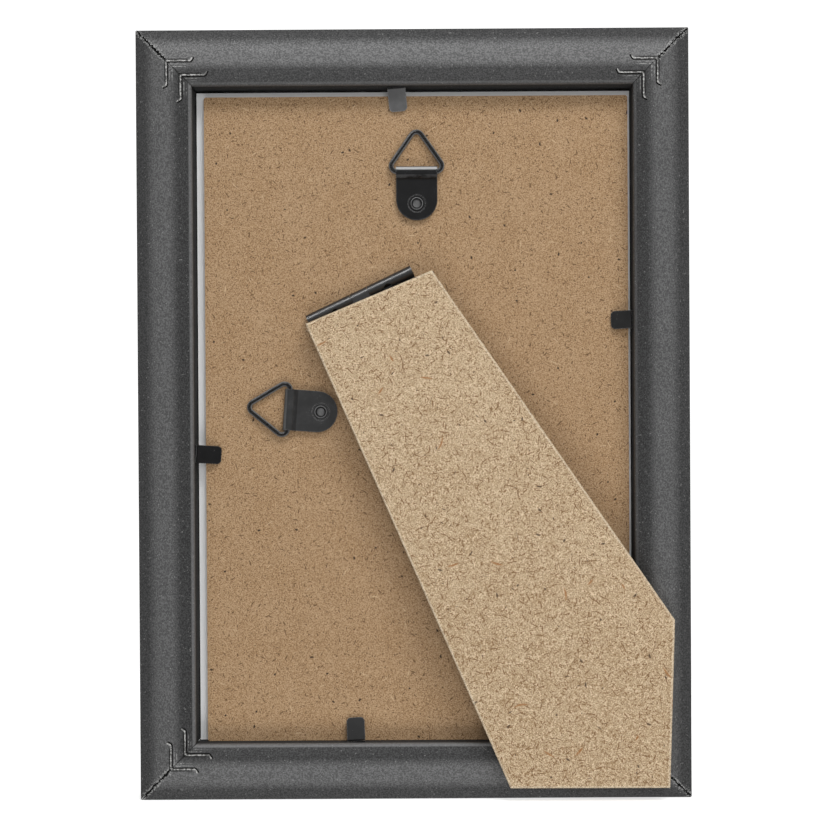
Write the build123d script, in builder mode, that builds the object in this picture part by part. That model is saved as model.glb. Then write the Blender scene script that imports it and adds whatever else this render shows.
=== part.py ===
from build123d import *
import math
import os

# Easel back photo frame for a 10 x 15 cm print, in millimetres.
# +Z is up, the picture faces -Y and the back faces +Y.
# Places on the back are (right, up) as seen from behind, so right is -X.
# Depths are measured from the front face towards the back.
# The origin is the middle of the flat underside of the bottom rail.

# Rails
rabbet_width = 102.2
rabbet_height = 152.6
rail_back_width = 12.9
lip_overlap = 5.0
lip_thickness = 4.2
back_recess = 5.0
crown_rise = 1.5
crown_flank = 3.5
crown_radius = 13.0
front_edge_radius = 2.0
outer_edge_radius = 0.5
inner_edge_radius = 0.8
sight_bevel_width = 3.0
sight_bevel_depth = 1.6
sight_bevel_radius = 1.0
sight_edge_radius = 0.4
mitre_gap = 0.1

# Glazing, insert and board, which stand on the bottom wall of the rabbet
glazing_thickness = 2.0
insert_thickness = 0.3
board_thickness = 2.5
seat_gap = 0.1
sheet_play = 0.6
sheet_gap = 0.05
board_side_play = 3.2
board_top_play = 2.0
board_shift = 0.68
board_corner_radius = 0.6

# V-shaped corner nails, pressed in from the back across each mitre
nail_insets = (7.3, 10.5)
nail_arm = 5.6
nail_thickness = 0.32
nail_height = 7.0
nail_proud = 0.05
nail_bend_radius = 0.5
nail_flare_run = 0.5
nail_flare_rise = 0.9
nail_outer_gap = 0.05
nail_inner_gap = 0.3
nail_end_gap = 0.1

# Bendable tabs, driven into the rabbet walls above the board
tab_width = 4.2
tab_thickness = 0.5
tab_tip_radius = 1.0
tab_root_rise = 2.2
tab_tip_gap = 0.3
tab_bend_off_wall = 0.6
tab_root_gap = 0.1
tab_embed = 7.0
tab_fit_gap = 0.05
tab_reach = {"top": 5.5, "right": 5.0, "bottom": 5.5, "left": 5.9}
tab_along_share = {"top": -0.029, "right": 0.123, "bottom": -0.109, "left": -0.050}
tab_skew_angle = {"top": 5.3, "right": 2.2, "bottom": 3.1, "left": -3.5}

# Hangers: a strap folded in two round the base of a triangle ring, with one rivet
strap_width = 9.6
strap_sheet = 0.6
strap_layer_gap = 0.05
strap_end_reach = 3.9
strap_loop_reach = 7.4
strap_step_start = 0.6
strap_step_run = 1.2
strap_step_radius = 0.7
dimple_radius = 2.1
dimple_depth = 0.25
dimple_taper_angle = 40.0
ring_wire_radius = 0.6
ring_loop_gap = 0.05
ring_base_half = 7.2
ring_height = 10.4
ring_bend_radius = 1.4
ring_butt_gap = 0.6
ring_rest_gap = 0.1
rivet_radius = 1.2
rivet_fit_gap = 0.05
rivet_head_radius = 2.25
rivet_head_thickness = 0.5
rivet_rim_radius = 1.45
rivet_rim_proud = 0.15
rivet_rim_round = 0.15
rivet_bore_radius = 0.92
rivet_bore_depth = 1.0
hanger_place_shares = {"top": (0.002, 0.833), "side": (-0.2275, 0.511)}
hanger_heading_angle = {"top": 90.0, "side": 175.6}

# Hinge of the leg: two sheet leaves rolled round one pin
hinge_place_share = (-0.1328, 0.690)
hinge_turn_angle = 25.4
leaf_sheet = 0.5
leaf_length = 12.5
leaf_neck = 2.4
leaf_corner_radius = 1.5
leg_leaf_width = 20.0
pin_radius = 0.85
pin_clearance = 0.05
pin_recess = 0.8
barrel_length = 27.0
middle_knuckle = 4.3
knuckle_gap = 0.1
roll_opening_angle = 70.0
barrel_notch_share = 0.25
barrel_notch_radius = 1.05
barrel_notch_offset = 1.2
hinge_rivet_spacing = 16.0
hinge_rivet_drop = 7.5
hinge_rivet_dome_radius = 2.0
hinge_rivet_dome_height = 0.7
prong_width = 1.0
prong_thickness = 0.5
prong_height = 1.5
prong_taper_angle = 8.0
prong_fit_gap = 0.05
prong_spacing = 14.0
prong_drops = (4.6, 10.2)

# Leg
leg_thickness = 2.5
leg_left_reach = 14.2
leg_left_gap = 0.75
leg_right_reach = 17.6
leg_right_gap = 2.3
leg_bend_inset = 4.1
leg_bend_height = 41.3
leg_corner_inset = 5.5
leg_foot_gap = 2.85
leg_foot_width = 36.6
leg_corner_radius = 0.3
leg_edge_chamfer = 0.25
leg_rest_gap = 0.3

# One overrun serves all cuts
cut_overrun = 1.0

# Depth of each layer and the outer size
outer_width = rabbet_width + 2 * rail_back_width
outer_height = rabbet_height + 2 * rail_back_width
rail_face_width = rail_back_width + lip_overlap
insert_front = lip_thickness + glazing_thickness + sheet_gap
board_front = insert_front + insert_thickness + sheet_gap
board_back = board_front + board_thickness
edge_depth = board_back + back_recess
rail_depth = edge_depth + crown_rise
flank_angle = math.atan2(crown_rise, crown_flank)
side_round = outer_edge_radius * math.tan((math.pi / 2 - flank_angle) / 2)
foot_centre = (front_edge_radius + edge_depth - side_round) / 2

# Sheets
sheet_width = rabbet_width - sheet_play
sheet_height = rabbet_height - sheet_play
sheet_bottom = rail_back_width + seat_gap
board_width = rabbet_width - board_side_play
board_height = rabbet_height - board_top_play

# Hanger levels above the board
loop_inner = ring_wire_radius + ring_loop_gap
loop_middle = loop_inner + strap_sheet / 2
loop_height = loop_inner + strap_sheet
upper_middle = strap_sheet * 3 / 2 + strap_layer_gap
strap_top = strap_sheet * 2 + strap_layer_gap

# Hinge levels
bore_radius = pin_radius + pin_clearance
barrel_radius = bore_radius + leaf_sheet
roll_middle = bore_radius + leaf_sheet / 2
axis_depth = board_back + barrel_radius


def at(right, depth, up):
    """Point of the frame from its place as seen from behind and its depth."""
    return Vector(-right, depth - foot_centre, up)


def back_plane(depth, right=0, up=0, turn=0):
    """Plane parallel to the back, with x turned anticlockwise from right by turn degrees."""
    angle = math.radians(turn)
    heading = Vector(-math.cos(angle), 0, math.sin(angle))
    return Plane(origin=at(right, depth, up), x_dir=heading, z_dir=(0, 1, 0))


def upright_plane(origin, heading):
    """Plane square to the back: x runs along heading and y points away from the front."""
    return Plane(origin=origin, x_dir=heading, z_dir=heading.cross(Vector(0, 1, 0)))


def tipped(plane, direction, angle):
    """The plane turned about a direction through its origin, by angle degrees."""
    axis = Axis((0, 0, 0), direction)
    x_dir = plane.x_dir.rotate(axis, angle)
    return Plane(plane.origin, x_dir=x_dir, z_dir=plane.z_dir.rotate(axis, angle))


def on_board(shares):
    """Place on the board from shares of its width and height."""
    right = board_shift + shares[0] * board_width
    up = sheet_bottom + shares[1] * board_height
    return right, up


def write(part, name):
    """Label a finished piece and write it."""
    part.label = name
    export_step(part, f"parts/{name}.step")


os.makedirs("parts", exist_ok=True)

# Each rail: middle of its outer edge, inward direction and length, as seen from behind
rail_layout = {
    "top": ((0, outer_height), (0, -1), outer_width),
    "bottom": ((0, 0), (0, 1), outer_width),
    "left": ((-outer_width / 2, outer_height / 2), (1, 0), outer_height),
    "right": ((outer_width / 2, outer_height / 2), (-1, 0), outer_height),
}

# Section of the moulding: x inwards from the outer edge, y from the front to the back
section_points = (
    (0, 0),
    (rail_face_width - sight_bevel_width, 0),
    (rail_face_width, sight_bevel_depth),
    (rail_face_width, lip_thickness),
    (rail_back_width, lip_thickness),
    (rail_back_width, edge_depth),
    (rail_back_width - crown_flank, rail_depth),
    (crown_flank, rail_depth),
    (0, edge_depth),
)
section_radii = (
    front_edge_radius,
    sight_bevel_radius,
    sight_edge_radius,
    0,
    0,
    inner_edge_radius,
    crown_radius,
    crown_radius,
    outer_edge_radius,
)

corners = ((-1, 1), (1, 1), (1, -1), (-1, -1))


def nail_route(corner, inset, end_gap):
    """Corner points of a nail's strip at one corner, with flared ends longer by end_gap."""
    side, level = corner
    stretch = 1 + end_gap / math.hypot(nail_flare_run, nail_flare_rise)
    rise = nail_flare_rise * stretch
    right = side * (outer_width / 2 - inset)
    up = outer_height / 2 + level * (outer_height / 2 - inset)
    flare_end = nail_arm + nail_flare_run * stretch
    return (
        (right - side * flare_end, up + level * rise),
        (right - side * nail_arm, up),
        (right, up),
        (right, up - level * nail_arm),
        (right + side * rise, up - level * flare_end),
    )


def nail_top(inset):
    """Depth of a nail's upper edge, just proud of the rounded crown."""
    crown_start = rail_back_width - crown_flank - crown_radius * math.tan(flank_angle / 2)
    past_start = max(0, inset - crown_start)
    crown_drop = crown_radius - math.sqrt(crown_radius**2 - past_start**2)
    return rail_depth - crown_drop + nail_proud


def nail_strip(inset, corner, width, end_gap=0):
    """Plan of a nail or of its slot: the route drawn at the given width."""
    with BuildLine() as route:
        FilletPolyline(*nail_route(corner, inset, end_gap), radius=nail_bend_radius)
    trace(route.line, line_width=width)


def tab_plane(side):
    """Plane of a tab: origin on the bend line, x along the tab, z towards the back."""
    (right, up), (in_right, in_up), length = rail_layout[side]
    off_edge = rail_back_width + tab_bend_off_wall
    along = tab_along_share[side] * length
    turn = math.degrees(math.atan2(in_up, in_right)) + tab_skew_angle[side]
    place_right = right + in_right * off_edge + abs(in_up) * along
    place_up = up + in_up * off_edge + abs(in_right) * along
    return back_plane(board_back + tab_root_rise, place_right, place_up, turn)


def tab_slope(side):
    """Angle in degrees at which a tab slopes down until its tip nearly meets the board."""
    drop = tab_root_rise - tab_tip_gap - tab_thickness / 2
    return math.degrees(math.atan2(drop, tab_reach[side] - tab_bend_off_wall))


# Mitred rails, with slots for the corner nails and a pocket for the tab
slot_width = nail_thickness + nail_outer_gap + nail_inner_gap
slot_shift = (nail_inner_gap - nail_outer_gap) / 2
shank_start = tab_bend_off_wall + tab_embed
for side, (middle, inward, length) in rail_layout.items():
    with BuildPart() as rail:
        across = Vector(-inward[0], 0, inward[1])
        section = upright_plane(at(middle[0], 0, middle[1]), across)
        with BuildSketch(section):
            with BuildLine():
                FilletPolyline(*section_points, radius=section_radii, close=True)
            make_face()
        extrude(amount=length / 2, both=True)
        for end in (-1, 1):
            outwards = (section.x_dir + section.z_dir * end).normalized()
            corner_point = section.origin + section.z_dir * (end * length / 2)
            cut = Plane(corner_point - outwards * (mitre_gap / 2), z_dir=outwards)
            split(bisect_by=cut, keep=Keep.BOTTOM)
        for inset in nail_insets:
            slot_floor = nail_top(inset) - nail_height - nail_end_gap
            for corner in corners:
                with BuildSketch(back_plane(slot_floor)):
                    nail_strip(inset + slot_shift, corner, slot_width, nail_end_gap)
                extrude(amount=rail_depth + cut_overrun - slot_floor, mode=Mode.SUBTRACT)
        with BuildSketch(tab_plane(side)):
            Rectangle(
                shank_start + tab_fit_gap,
                tab_width + 2 * tab_fit_gap,
                align=(Align.MAX, Align.CENTER),
            )
        extrude(amount=tab_thickness / 2 + tab_fit_gap, both=True, mode=Mode.SUBTRACT)
    write(rail.part, f"rail_{side}")

# Corner nails
with BuildPart() as corner_v_nails:
    for inset in nail_insets:
        for corner in corners:
            with BuildSketch(back_plane(nail_top(inset))):
                nail_strip(inset, corner, nail_thickness)
            extrude(amount=-nail_height)
write(corner_v_nails.part, "corner_v_nails")

# Shanks of the tabs, embedded in the rails
with BuildPart() as tab_shanks:
    for side in rail_layout:
        with BuildSketch(tab_plane(side)):
            shank_end = tab_thickness / 2 + tab_root_gap
            with Locations((-shank_end, 0)):
                Rectangle(shank_start - shank_end, tab_width, align=(Align.MAX, Align.CENTER))
        extrude(amount=tab_thickness / 2, both=True)
write(tab_shanks.part, "tab_shanks")

# Blades of the tabs, round at the bend line and at the corners of the tip
for side in rail_layout:
    with BuildPart() as tab:
        slope = tab_slope(side)
        blade = tipped(tab_plane(side), tab_plane(side).y_dir, slope)
        blade_length = (tab_reach[side] - tab_bend_off_wall) / math.cos(math.radians(slope))
        with BuildSketch(Plane(blade.origin, x_dir=blade.x_dir, z_dir=-blade.y_dir)):
            Rectangle(blade_length, tab_thickness, align=(Align.MIN, Align.CENTER))
            Circle(tab_thickness / 2)
        extrude(amount=tab_width / 2, both=True)
        with BuildSketch(blade):
            with BuildLine():
                FilletPolyline(
                    (-tab_thickness, -tab_width / 2),
                    (blade_length, -tab_width / 2),
                    (blade_length, tab_width / 2),
                    (-tab_thickness, tab_width / 2),
                    radius=(0, tab_tip_radius, tab_tip_radius, 0),
                    close=True,
                )
            make_face()
        extrude(amount=tab_thickness, both=True, mode=Mode.INTERSECT)
    write(tab.part, f"tab_{side}")

# Clear front sheet and paper insert
for name, depth, thickness in (
    ("glazing_sheet", lip_thickness, glazing_thickness),
    ("picture_insert", insert_front, insert_thickness),
):
    with BuildPart() as sheet:
        with BuildSketch(back_plane(depth, up=sheet_bottom)):
            Rectangle(sheet_width, sheet_height, align=(Align.CENTER, Align.MIN))
        extrude(amount=thickness)
    write(sheet.part, name)

# Hinge and leg planes: x along the hinge, y up the leg, z towards the back
hinge_right, hinge_up = on_board(hinge_place_share)
hinge_plane = back_plane(axis_depth, hinge_right, hinge_up, hinge_turn_angle)
bend_right = outer_width / 2 - leg_bend_inset
foot_right = outer_width / 2 - leg_corner_inset
leg_foot_points = (
    (bend_right, leg_bend_height),
    (foot_right, leg_foot_gap),
    (foot_right - leg_foot_width, leg_foot_gap),
)
leg_top_points = ((-leg_left_reach, -leg_left_gap), (leg_right_reach, -leg_right_gap))
foot_locals = [hinge_plane.to_local_coords(at(r, axis_depth, u)) for r, u in leg_foot_points]
leg_points = leg_top_points + tuple((point.X, point.Y) for point in foot_locals)

# At rest the leg lies just off the crest of the right rail
top_right = hinge_plane.from_local_coords(Vector(leg_right_reach, -leg_right_gap, 0))
crest_right = outer_width / 2 - rail_back_width + crown_flank
crest_share = (crest_right + top_right.X) / (bend_right + top_right.X)
crest_up = top_right.Z + crest_share * (leg_bend_height - top_right.Z)
crest_drop = -hinge_plane.to_local_coords(at(crest_right, axis_depth, crest_up)).Y
crest_rise = rail_depth + leg_rest_gap - axis_depth - barrel_radius
leg_rest_angle = math.degrees(math.asin(crest_rise / crest_drop))
leg_plane = tipped(hinge_plane, hinge_plane.x_dir, -leg_rest_angle)

# Rivet places on the board
hanger_places = {name: on_board(shares) for name, shares in hanger_place_shares.items()}
hinge_rivet_places = []
for end in (-1, 1):
    point = Vector(end * hinge_rivet_spacing / 2, -hinge_rivet_drop, 0)
    spot = hinge_plane.from_local_coords(point)
    hinge_rivet_places.append((-spot.X, spot.Z))
rivet_places = list(hanger_places.values()) + hinge_rivet_places
rivet_hole_radius = rivet_radius + rivet_fit_gap

# Board, with holes for the rivets counterbored from the front
with BuildPart() as backboard:
    with BuildSketch(back_plane(board_front, board_shift, sheet_bottom + board_height / 2)):
        RectangleRounded(board_width, board_height, board_corner_radius)
    extrude(amount=board_thickness)
    with BuildSketch(back_plane(board_front)):
        with Locations(*rivet_places):
            Circle(rivet_hole_radius)
    extrude(amount=board_thickness, mode=Mode.SUBTRACT)
    with BuildSketch(back_plane(board_front)):
        with Locations(*rivet_places):
            Circle(rivet_head_radius + rivet_fit_gap)
    extrude(amount=rivet_head_thickness + rivet_fit_gap, mode=Mode.SUBTRACT)
write(backboard.part, "backboard")

# Hangers
half_apex = math.atan2(ring_base_half, ring_height)
ring_apex = ring_height - ring_bend_radius * (1 / math.sin(half_apex) - 1)
ring_drop = loop_height - ring_wire_radius - ring_rest_gap
ring_lean = math.degrees(math.asin(ring_drop / ring_apex))
for name, (right, up) in hanger_places.items():
    plan = back_plane(board_back, right, up, hanger_heading_angle[name])
    side_view = upright_plane(plan.origin, plan.x_dir)

    # The strap is one sheet, folded over the ring's base and stepped down to two layers
    with BuildPart() as strap:
        with BuildSketch(side_view):
            with BuildLine():
                step_top = (strap_loop_reach, loop_height + loop_middle)
                step_edge = strap_loop_reach - strap_step_start
                Line((-strap_end_reach, strap_sheet / 2), (strap_loop_reach, strap_sheet / 2))
                CenterArc((strap_loop_reach, loop_height), loop_middle, -90, 180)
                FilletPolyline(
                    step_top,
                    (step_edge, step_top[1]),
                    (step_edge - strap_step_run, upper_middle),
                    (-strap_end_reach, upper_middle),
                    radius=strap_step_radius,
                )
            trace(line_width=strap_sheet)
        extrude(amount=strap_width / 2, both=True)
        with BuildSketch(plan):
            with Locations((strap_width / 2 - strap_end_reach, 0)):
                Circle(strap_width / 2)
                Rectangle(
                    strap_end_reach + strap_loop_reach + cut_overrun,
                    strap_width,
                    align=(Align.MIN, Align.CENTER),
                )
        extrude(amount=2 * loop_height + cut_overrun, mode=Mode.INTERSECT)
        with BuildSketch(plan):
            Circle(rivet_hole_radius)
        extrude(amount=strap_top, mode=Mode.SUBTRACT)
        with BuildSketch(plan.offset(strap_top)):
            Circle(dimple_radius)
        extrude(amount=-dimple_depth, taper=dimple_taper_angle, mode=Mode.SUBTRACT)
    write(strap.part, f"hanger_{name}_strap")

    # The ring is bent from wire, with its butt joint hidden in the loop
    with BuildPart() as ring:
        base = plan.from_local_coords(Vector(strap_loop_reach, 0, loop_height))
        flat = Plane(base, x_dir=plan.x_dir, z_dir=plan.z_dir)
        ring_plane = tipped(flat, flat.y_dir, ring_lean)
        with BuildLine(ring_plane) as wire:
            FilletPolyline(
                (0, ring_butt_gap / 2),
                (0, ring_base_half),
                (ring_height, 0),
                (0, -ring_base_half),
                (0, -ring_butt_gap / 2),
                radius=ring_bend_radius,
            )
        with BuildSketch(Plane(wire.line @ 0, z_dir=wire.line % 0)):
            Circle(ring_wire_radius)
        sweep(path=wire.line)
    write(ring.part, f"hanger_{name}_ring")

    # The rivet is tubular: a flush head in the board and a rolled rim in the dimple
    with BuildPart() as rivet:
        rim_top = strap_top + rivet_rim_proud
        with BuildSketch(side_view):
            with BuildLine():
                FilletPolyline(
                    (0, -board_thickness),
                    (rivet_head_radius, -board_thickness),
                    (rivet_head_radius, rivet_head_thickness - board_thickness),
                    (rivet_radius, rivet_head_thickness - board_thickness),
                    (rivet_radius, strap_top - dimple_depth),
                    (rivet_rim_radius, strap_top - dimple_depth),
                    (rivet_rim_radius, rim_top),
                    (rivet_bore_radius, rim_top),
                    (rivet_bore_radius, rim_top - rivet_bore_depth),
                    (0, rim_top - rivet_bore_depth),
                    radius=(0, 0, 0, 0, 0, 0, rivet_rim_round, rivet_rim_round, 0, 0),
                    close=True,
                )
            make_face()
        revolve(axis=Axis(plan.origin, plan.z_dir))
    write(rivet.part, f"hanger_{name}_rivet")


def leaf_outline(width):
    """Plan of a leaf, square at the barrel and rounded at its free corners."""
    with BuildLine() as outline:
        FilletPolyline(
            (-width / 2, barrel_radius + cut_overrun),
            (-width / 2, -leaf_length),
            (width / 2, -leaf_length),
            (width / 2, barrel_radius + cut_overrun),
            radius=(0, leaf_corner_radius, leaf_corner_radius, 0),
            close=True,
        )
    make_face(outline.edges())


def rolled_sheet(side):
    """Edge view of a leaf on the given side of the pin, rolled round it."""
    with BuildLine() as roll:
        Line((leaf_length, side * roll_middle), (0, side * roll_middle))
        CenterArc((0, 0), roll_middle, side * 90, side * (360 - roll_opening_angle))
    trace(roll.line, line_width=leaf_sheet)


def upright_section(plane):
    """Plane square to the hinge: x runs down the leaf and y points away from it."""
    down = -plane.y_dir
    return Plane(plane.origin, x_dir=down, z_dir=down.cross(plane.z_dir))


# Leaf on the board, with the two outer knuckles and a notch in each
with BuildPart() as hinge_board_leaf:
    with BuildSketch(upright_section(hinge_plane)):
        rolled_sheet(-1)
    extrude(amount=barrel_length / 2, both=True)
    with BuildSketch(hinge_plane):
        leaf_outline(barrel_length)
    extrude(amount=barrel_radius + cut_overrun, both=True, mode=Mode.INTERSECT)
    with BuildSketch(hinge_plane):
        with Locations((0, barrel_radius + cut_overrun)):
            Rectangle(
                middle_knuckle + 2 * knuckle_gap,
                barrel_radius + cut_overrun + leaf_neck,
                align=(Align.CENTER, Align.MAX),
            )
    extrude(amount=barrel_radius + cut_overrun, both=True, mode=Mode.SUBTRACT)
    with BuildSketch(hinge_plane):
        for end in (-1, 1):
            with Locations((end * barrel_notch_share * barrel_length, -barrel_notch_offset)):
                Circle(barrel_notch_radius)
    extrude(amount=barrel_radius + cut_overrun, mode=Mode.SUBTRACT)
    with BuildSketch(back_plane(board_back)):
        with Locations(*hinge_rivet_places):
            Circle(rivet_hole_radius)
    extrude(amount=leaf_sheet, mode=Mode.SUBTRACT)
write(hinge_board_leaf.part, "hinge_board_leaf")

# Leaf on the leg, with the middle knuckle and prongs that bite into the leg
prong_places = [(s * prong_spacing / 2, -drop) for drop in prong_drops for s in (-1, 1)]
with BuildPart() as hinge_leg_leaf:
    with BuildSketch(upright_section(leg_plane)):
        rolled_sheet(1)
    extrude(amount=middle_knuckle / 2, both=True)
    with BuildSketch(leg_plane.offset(bore_radius)):
        leaf_outline(leg_leaf_width)
        with Locations((0, -leaf_neck)):
            Rectangle(
                leg_leaf_width + cut_overrun,
                leaf_neck + barrel_radius + 2 * cut_overrun,
                align=(Align.CENTER, Align.MIN),
                mode=Mode.SUBTRACT,
            )
    extrude(amount=leaf_sheet)
    with BuildSketch(leg_plane.offset(barrel_radius)):
        with Locations(*prong_places):
            Rectangle(prong_width, prong_thickness)
    extrude(amount=prong_height, taper=prong_taper_angle)
write(hinge_leg_leaf.part, "hinge_leg_leaf")

# Pin, recessed in the barrel
with BuildPart() as hinge_pin:
    with BuildSketch(upright_section(hinge_plane)):
        Circle(pin_radius)
    extrude(amount=barrel_length / 2 - pin_recess, both=True)
write(hinge_pin.part, "hinge_pin")

# Domed rivets that hold the lower leaf to the board
with BuildPart() as hinge_rivets:
    for right, up in hinge_rivet_places:
        spot = back_plane(board_back, right, up)
        with BuildSketch(upright_plane(spot.origin, spot.x_dir)):
            with BuildLine():
                crown = (0, leaf_sheet + hinge_rivet_dome_height)
                rim = (hinge_rivet_dome_radius, leaf_sheet)
                Polyline(
                    crown,
                    (0, -board_thickness),
                    (rivet_head_radius, -board_thickness),
                    (rivet_head_radius, rivet_head_thickness - board_thickness),
                    (rivet_radius, rivet_head_thickness - board_thickness),
                    (rivet_radius, leaf_sheet),
                    rim,
                )
                TangentArc(crown, rim, tangent=(1, 0))
            make_face()
        revolve(axis=Axis(spot.origin, spot.z_dir))
write(hinge_rivets.part, "hinge_rivets")

# Leg, cut from fibreboard, with pockets for the prongs in its inner face
with BuildPart() as easel_leg:
    with BuildSketch(leg_plane.offset(barrel_radius)):
        with BuildLine():
            FilletPolyline(*leg_points, radius=leg_corner_radius, close=True)
        make_face()
    extrude(amount=leg_thickness)
    outer_face = easel_leg.faces().sort_by(Axis(leg_plane.origin, leg_plane.z_dir))[-1]
    chamfer(outer_face.edges(), leg_edge_chamfer)
    with BuildSketch(leg_plane.offset(barrel_radius)):
        with Locations(*prong_places):
            Rectangle(prong_width + 2 * prong_fit_gap, prong_thickness + 2 * prong_fit_gap)
    extrude(amount=prong_height + prong_fit_gap, mode=Mode.SUBTRACT)
write(easel_leg.part, "easel_leg")
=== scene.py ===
"""Looks of the easel back photo frame: finishes, loose fibres, stage, light and camera."""

import math

import bpy
import numpy as np
from bpy.props import FloatProperty, FloatVectorProperty, IntProperty, PointerProperty
from mathutils import Matrix, Vector, geometry


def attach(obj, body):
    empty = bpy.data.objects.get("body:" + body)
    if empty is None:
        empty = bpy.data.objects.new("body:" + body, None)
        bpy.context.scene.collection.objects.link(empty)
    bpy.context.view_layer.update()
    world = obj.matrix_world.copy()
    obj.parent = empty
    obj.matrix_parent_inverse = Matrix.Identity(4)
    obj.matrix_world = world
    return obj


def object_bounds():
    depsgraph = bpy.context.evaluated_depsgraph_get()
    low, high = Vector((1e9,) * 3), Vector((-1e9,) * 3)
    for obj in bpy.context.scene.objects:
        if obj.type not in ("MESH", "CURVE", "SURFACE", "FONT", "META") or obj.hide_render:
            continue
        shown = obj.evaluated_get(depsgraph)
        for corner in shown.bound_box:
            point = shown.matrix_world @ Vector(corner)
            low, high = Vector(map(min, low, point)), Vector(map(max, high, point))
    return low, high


bl_info = {
    "name": "Easel Back Photo Frame Looks",
    "version": (1, 0, 0),
    "blender": (4, 5, 0),
    "location": "View3D > Sidebar > Photo Frame",
    "description": "Finishes, loose fibres, stage and camera of an easel back photo frame",
    "category": "Object",
}

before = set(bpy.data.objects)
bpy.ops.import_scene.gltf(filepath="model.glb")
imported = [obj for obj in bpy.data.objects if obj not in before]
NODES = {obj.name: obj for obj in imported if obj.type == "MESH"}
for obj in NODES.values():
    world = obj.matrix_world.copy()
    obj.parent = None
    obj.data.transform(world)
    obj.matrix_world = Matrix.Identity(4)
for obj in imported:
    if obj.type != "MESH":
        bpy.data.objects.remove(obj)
CAD_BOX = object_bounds()
MM = 0.001

# Distance of the corner nails from the outer edges, in millimetres
NAIL_INSETS = (7.3, 10.5)

# Scores beside each nail: distance inwards from it in millimetres, and strength
NAIL_SCORES = ((0.8, 0.6), (1.35, 0.9))

# Zones across a rail, in millimetres from its outer edge: where each soft edge starts and ends
CREST_RISE = (1.4, 4.8)
CREST_FALL = (10.3, 7.2)
OUTER_FLANK = (8.0, 6.0)
INNER_FLANK = (6.0, 8.0)
WALL_RISE = (12.3, 12.6)
LIP_RISE = (12.0, 12.35)
LIP_FALL = (13.1, 12.8)

# Reach of the marks at a mitre and at the nails, in millimetres from the outer edge
CHIPS_END = (10.0, 6.0)
GAP_END = (7.4, 6.8)
SEAM_START = (7.0, 7.6)
SCORES_END = (12.0, 11.6)

# Soft edges in the depth of a rail, in millimetres along Y
BACK_DEPTH = (5.0, 5.8)
CREST_DEPTH = (4.0, 6.0)
LIP_DEPTH = (4.4, 5.2)
WALL_DEPTH = (5.6, 4.6)

# How far the grain of the foil is drawn out along a rail
GRAIN_STRETCH = 1.3

# Bands of painted highlight across a strap, along its fold and on the step below it, in millimetres from
# its fold: where each soft edge starts and ends
FOLD_RISE = (0.1, 0.3)
FOLD_FALL = (0.95, 0.65)
STEP_RISE = (1.9, 2.2)
STEP_FALL = (2.9, 2.5)

# Radii of the worn ring with a painted highlight round a rivet on its strap, of the worn rim with a
# painted highlight on the rivet, and of its hollow, in millimetres
COLLAR_HIGHLIGHT_RADIUS = 2.02
RIM_HIGHLIGHT_RADIUS = 1.36
HOLLOW_EDGE = (0.95, 0.85)

# Colours that are not among the settings
GAP_BLACK = (0.003, 0.003, 0.003)
# Painted shade on the wall of the rabbet
WALL_SHADE_BLACK = (0.006, 0.006, 0.006)
DUST_GREY = (0.2, 0.19, 0.18)
# Painted highlight along a strap's fold, drawn as bare grey
FOLD_HIGHLIGHT = (0.62, 0.62, 0.62)
BARK_BLACK = (0.045, 0.026, 0.018)
PAPER_SHADE = (0.84, 0.85, 0.86)
WIPE_TINT = (0.85, 0.88, 0.88)
FLOOR_SHADE = (0.86, 0.86, 0.86)

# How far patterns on a board shift, along and down its face, for each millimetre of depth
DEPTH_SHIFT = (1.1, 0.9)

# Number of angles that the fibres in a mat lie at
MAT_TURNS = 5

# Heights between which painted shade darkens the leg towards the tone of its foot, in millimetres
FOOT_SHADE_SPAN = (125, -15)

# Width of the pale line along the leg's cut edges
CUT_EDGE = 0.9 * MM

# How deep a loose fibre is rooted in the surface, and how far it keeps from the leg's edges
FIBRE_SINK = 0.008 * MM
FIBRE_MARGIN = 1.2 * MM

# Share of the loose fibres that are stout chips, and their length and width beside the others
CHIP_SHARE = 0.27
CHIP_LENGTH = 0.32
CHIP_WIDTH = 2.0

# Seeds of the fibres on the leg's face and at its edges, and the number at its upper corner
FACE_SEED = 11
EDGE_SEED = 23
CORNER_FIBRES = 24

# Distances from the middle at which the floor has faded out and is whole, in millimetres
FLOOR_FADE = (340, 130)

# Half of the frame's outer width and height, in millimetres, from the frame itself
HALF_WIDTH = (CAD_BOX[1][0] - CAD_BOX[0][0]) / 2 / MM
HALF_HEIGHT = (CAD_BOX[1][2] - CAD_BOX[0][2]) / 2 / MM


def colour(name, description, default):
    """A colour that a user can change."""
    return FloatVectorProperty(
        name=name, description=description, default=default, size=3, min=0, max=1, subtype="COLOR"
    )


def length(name, description, millimetres):
    """A length that a user can change, given in millimetres and held in metres."""
    return FloatProperty(
        name=name,
        description=description,
        default=millimetres * MM,
        min=0,
        precision=5,
        subtype="DISTANCE",
        unit="LENGTH",
    )


def share(name, description, default):
    """A share from none to all."""
    return FloatProperty(
        name=name, description=description, default=default, min=0, max=1, subtype="FACTOR"
    )


def level(name, description, default, unit="NONE"):
    """A power or brightness, none or more."""
    return FloatProperty(name=name, description=description, default=default, min=0, unit=unit)


def number(name, description, default):
    """How many of something there are, one or more."""
    return IntProperty(name=name, description=description, default=default, min=1)


def point(name, description, default):
    """A point, in metres."""
    return FloatVectorProperty(
        name=name, description=description, default=default, subtype="TRANSLATION", unit="LENGTH"
    )


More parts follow.
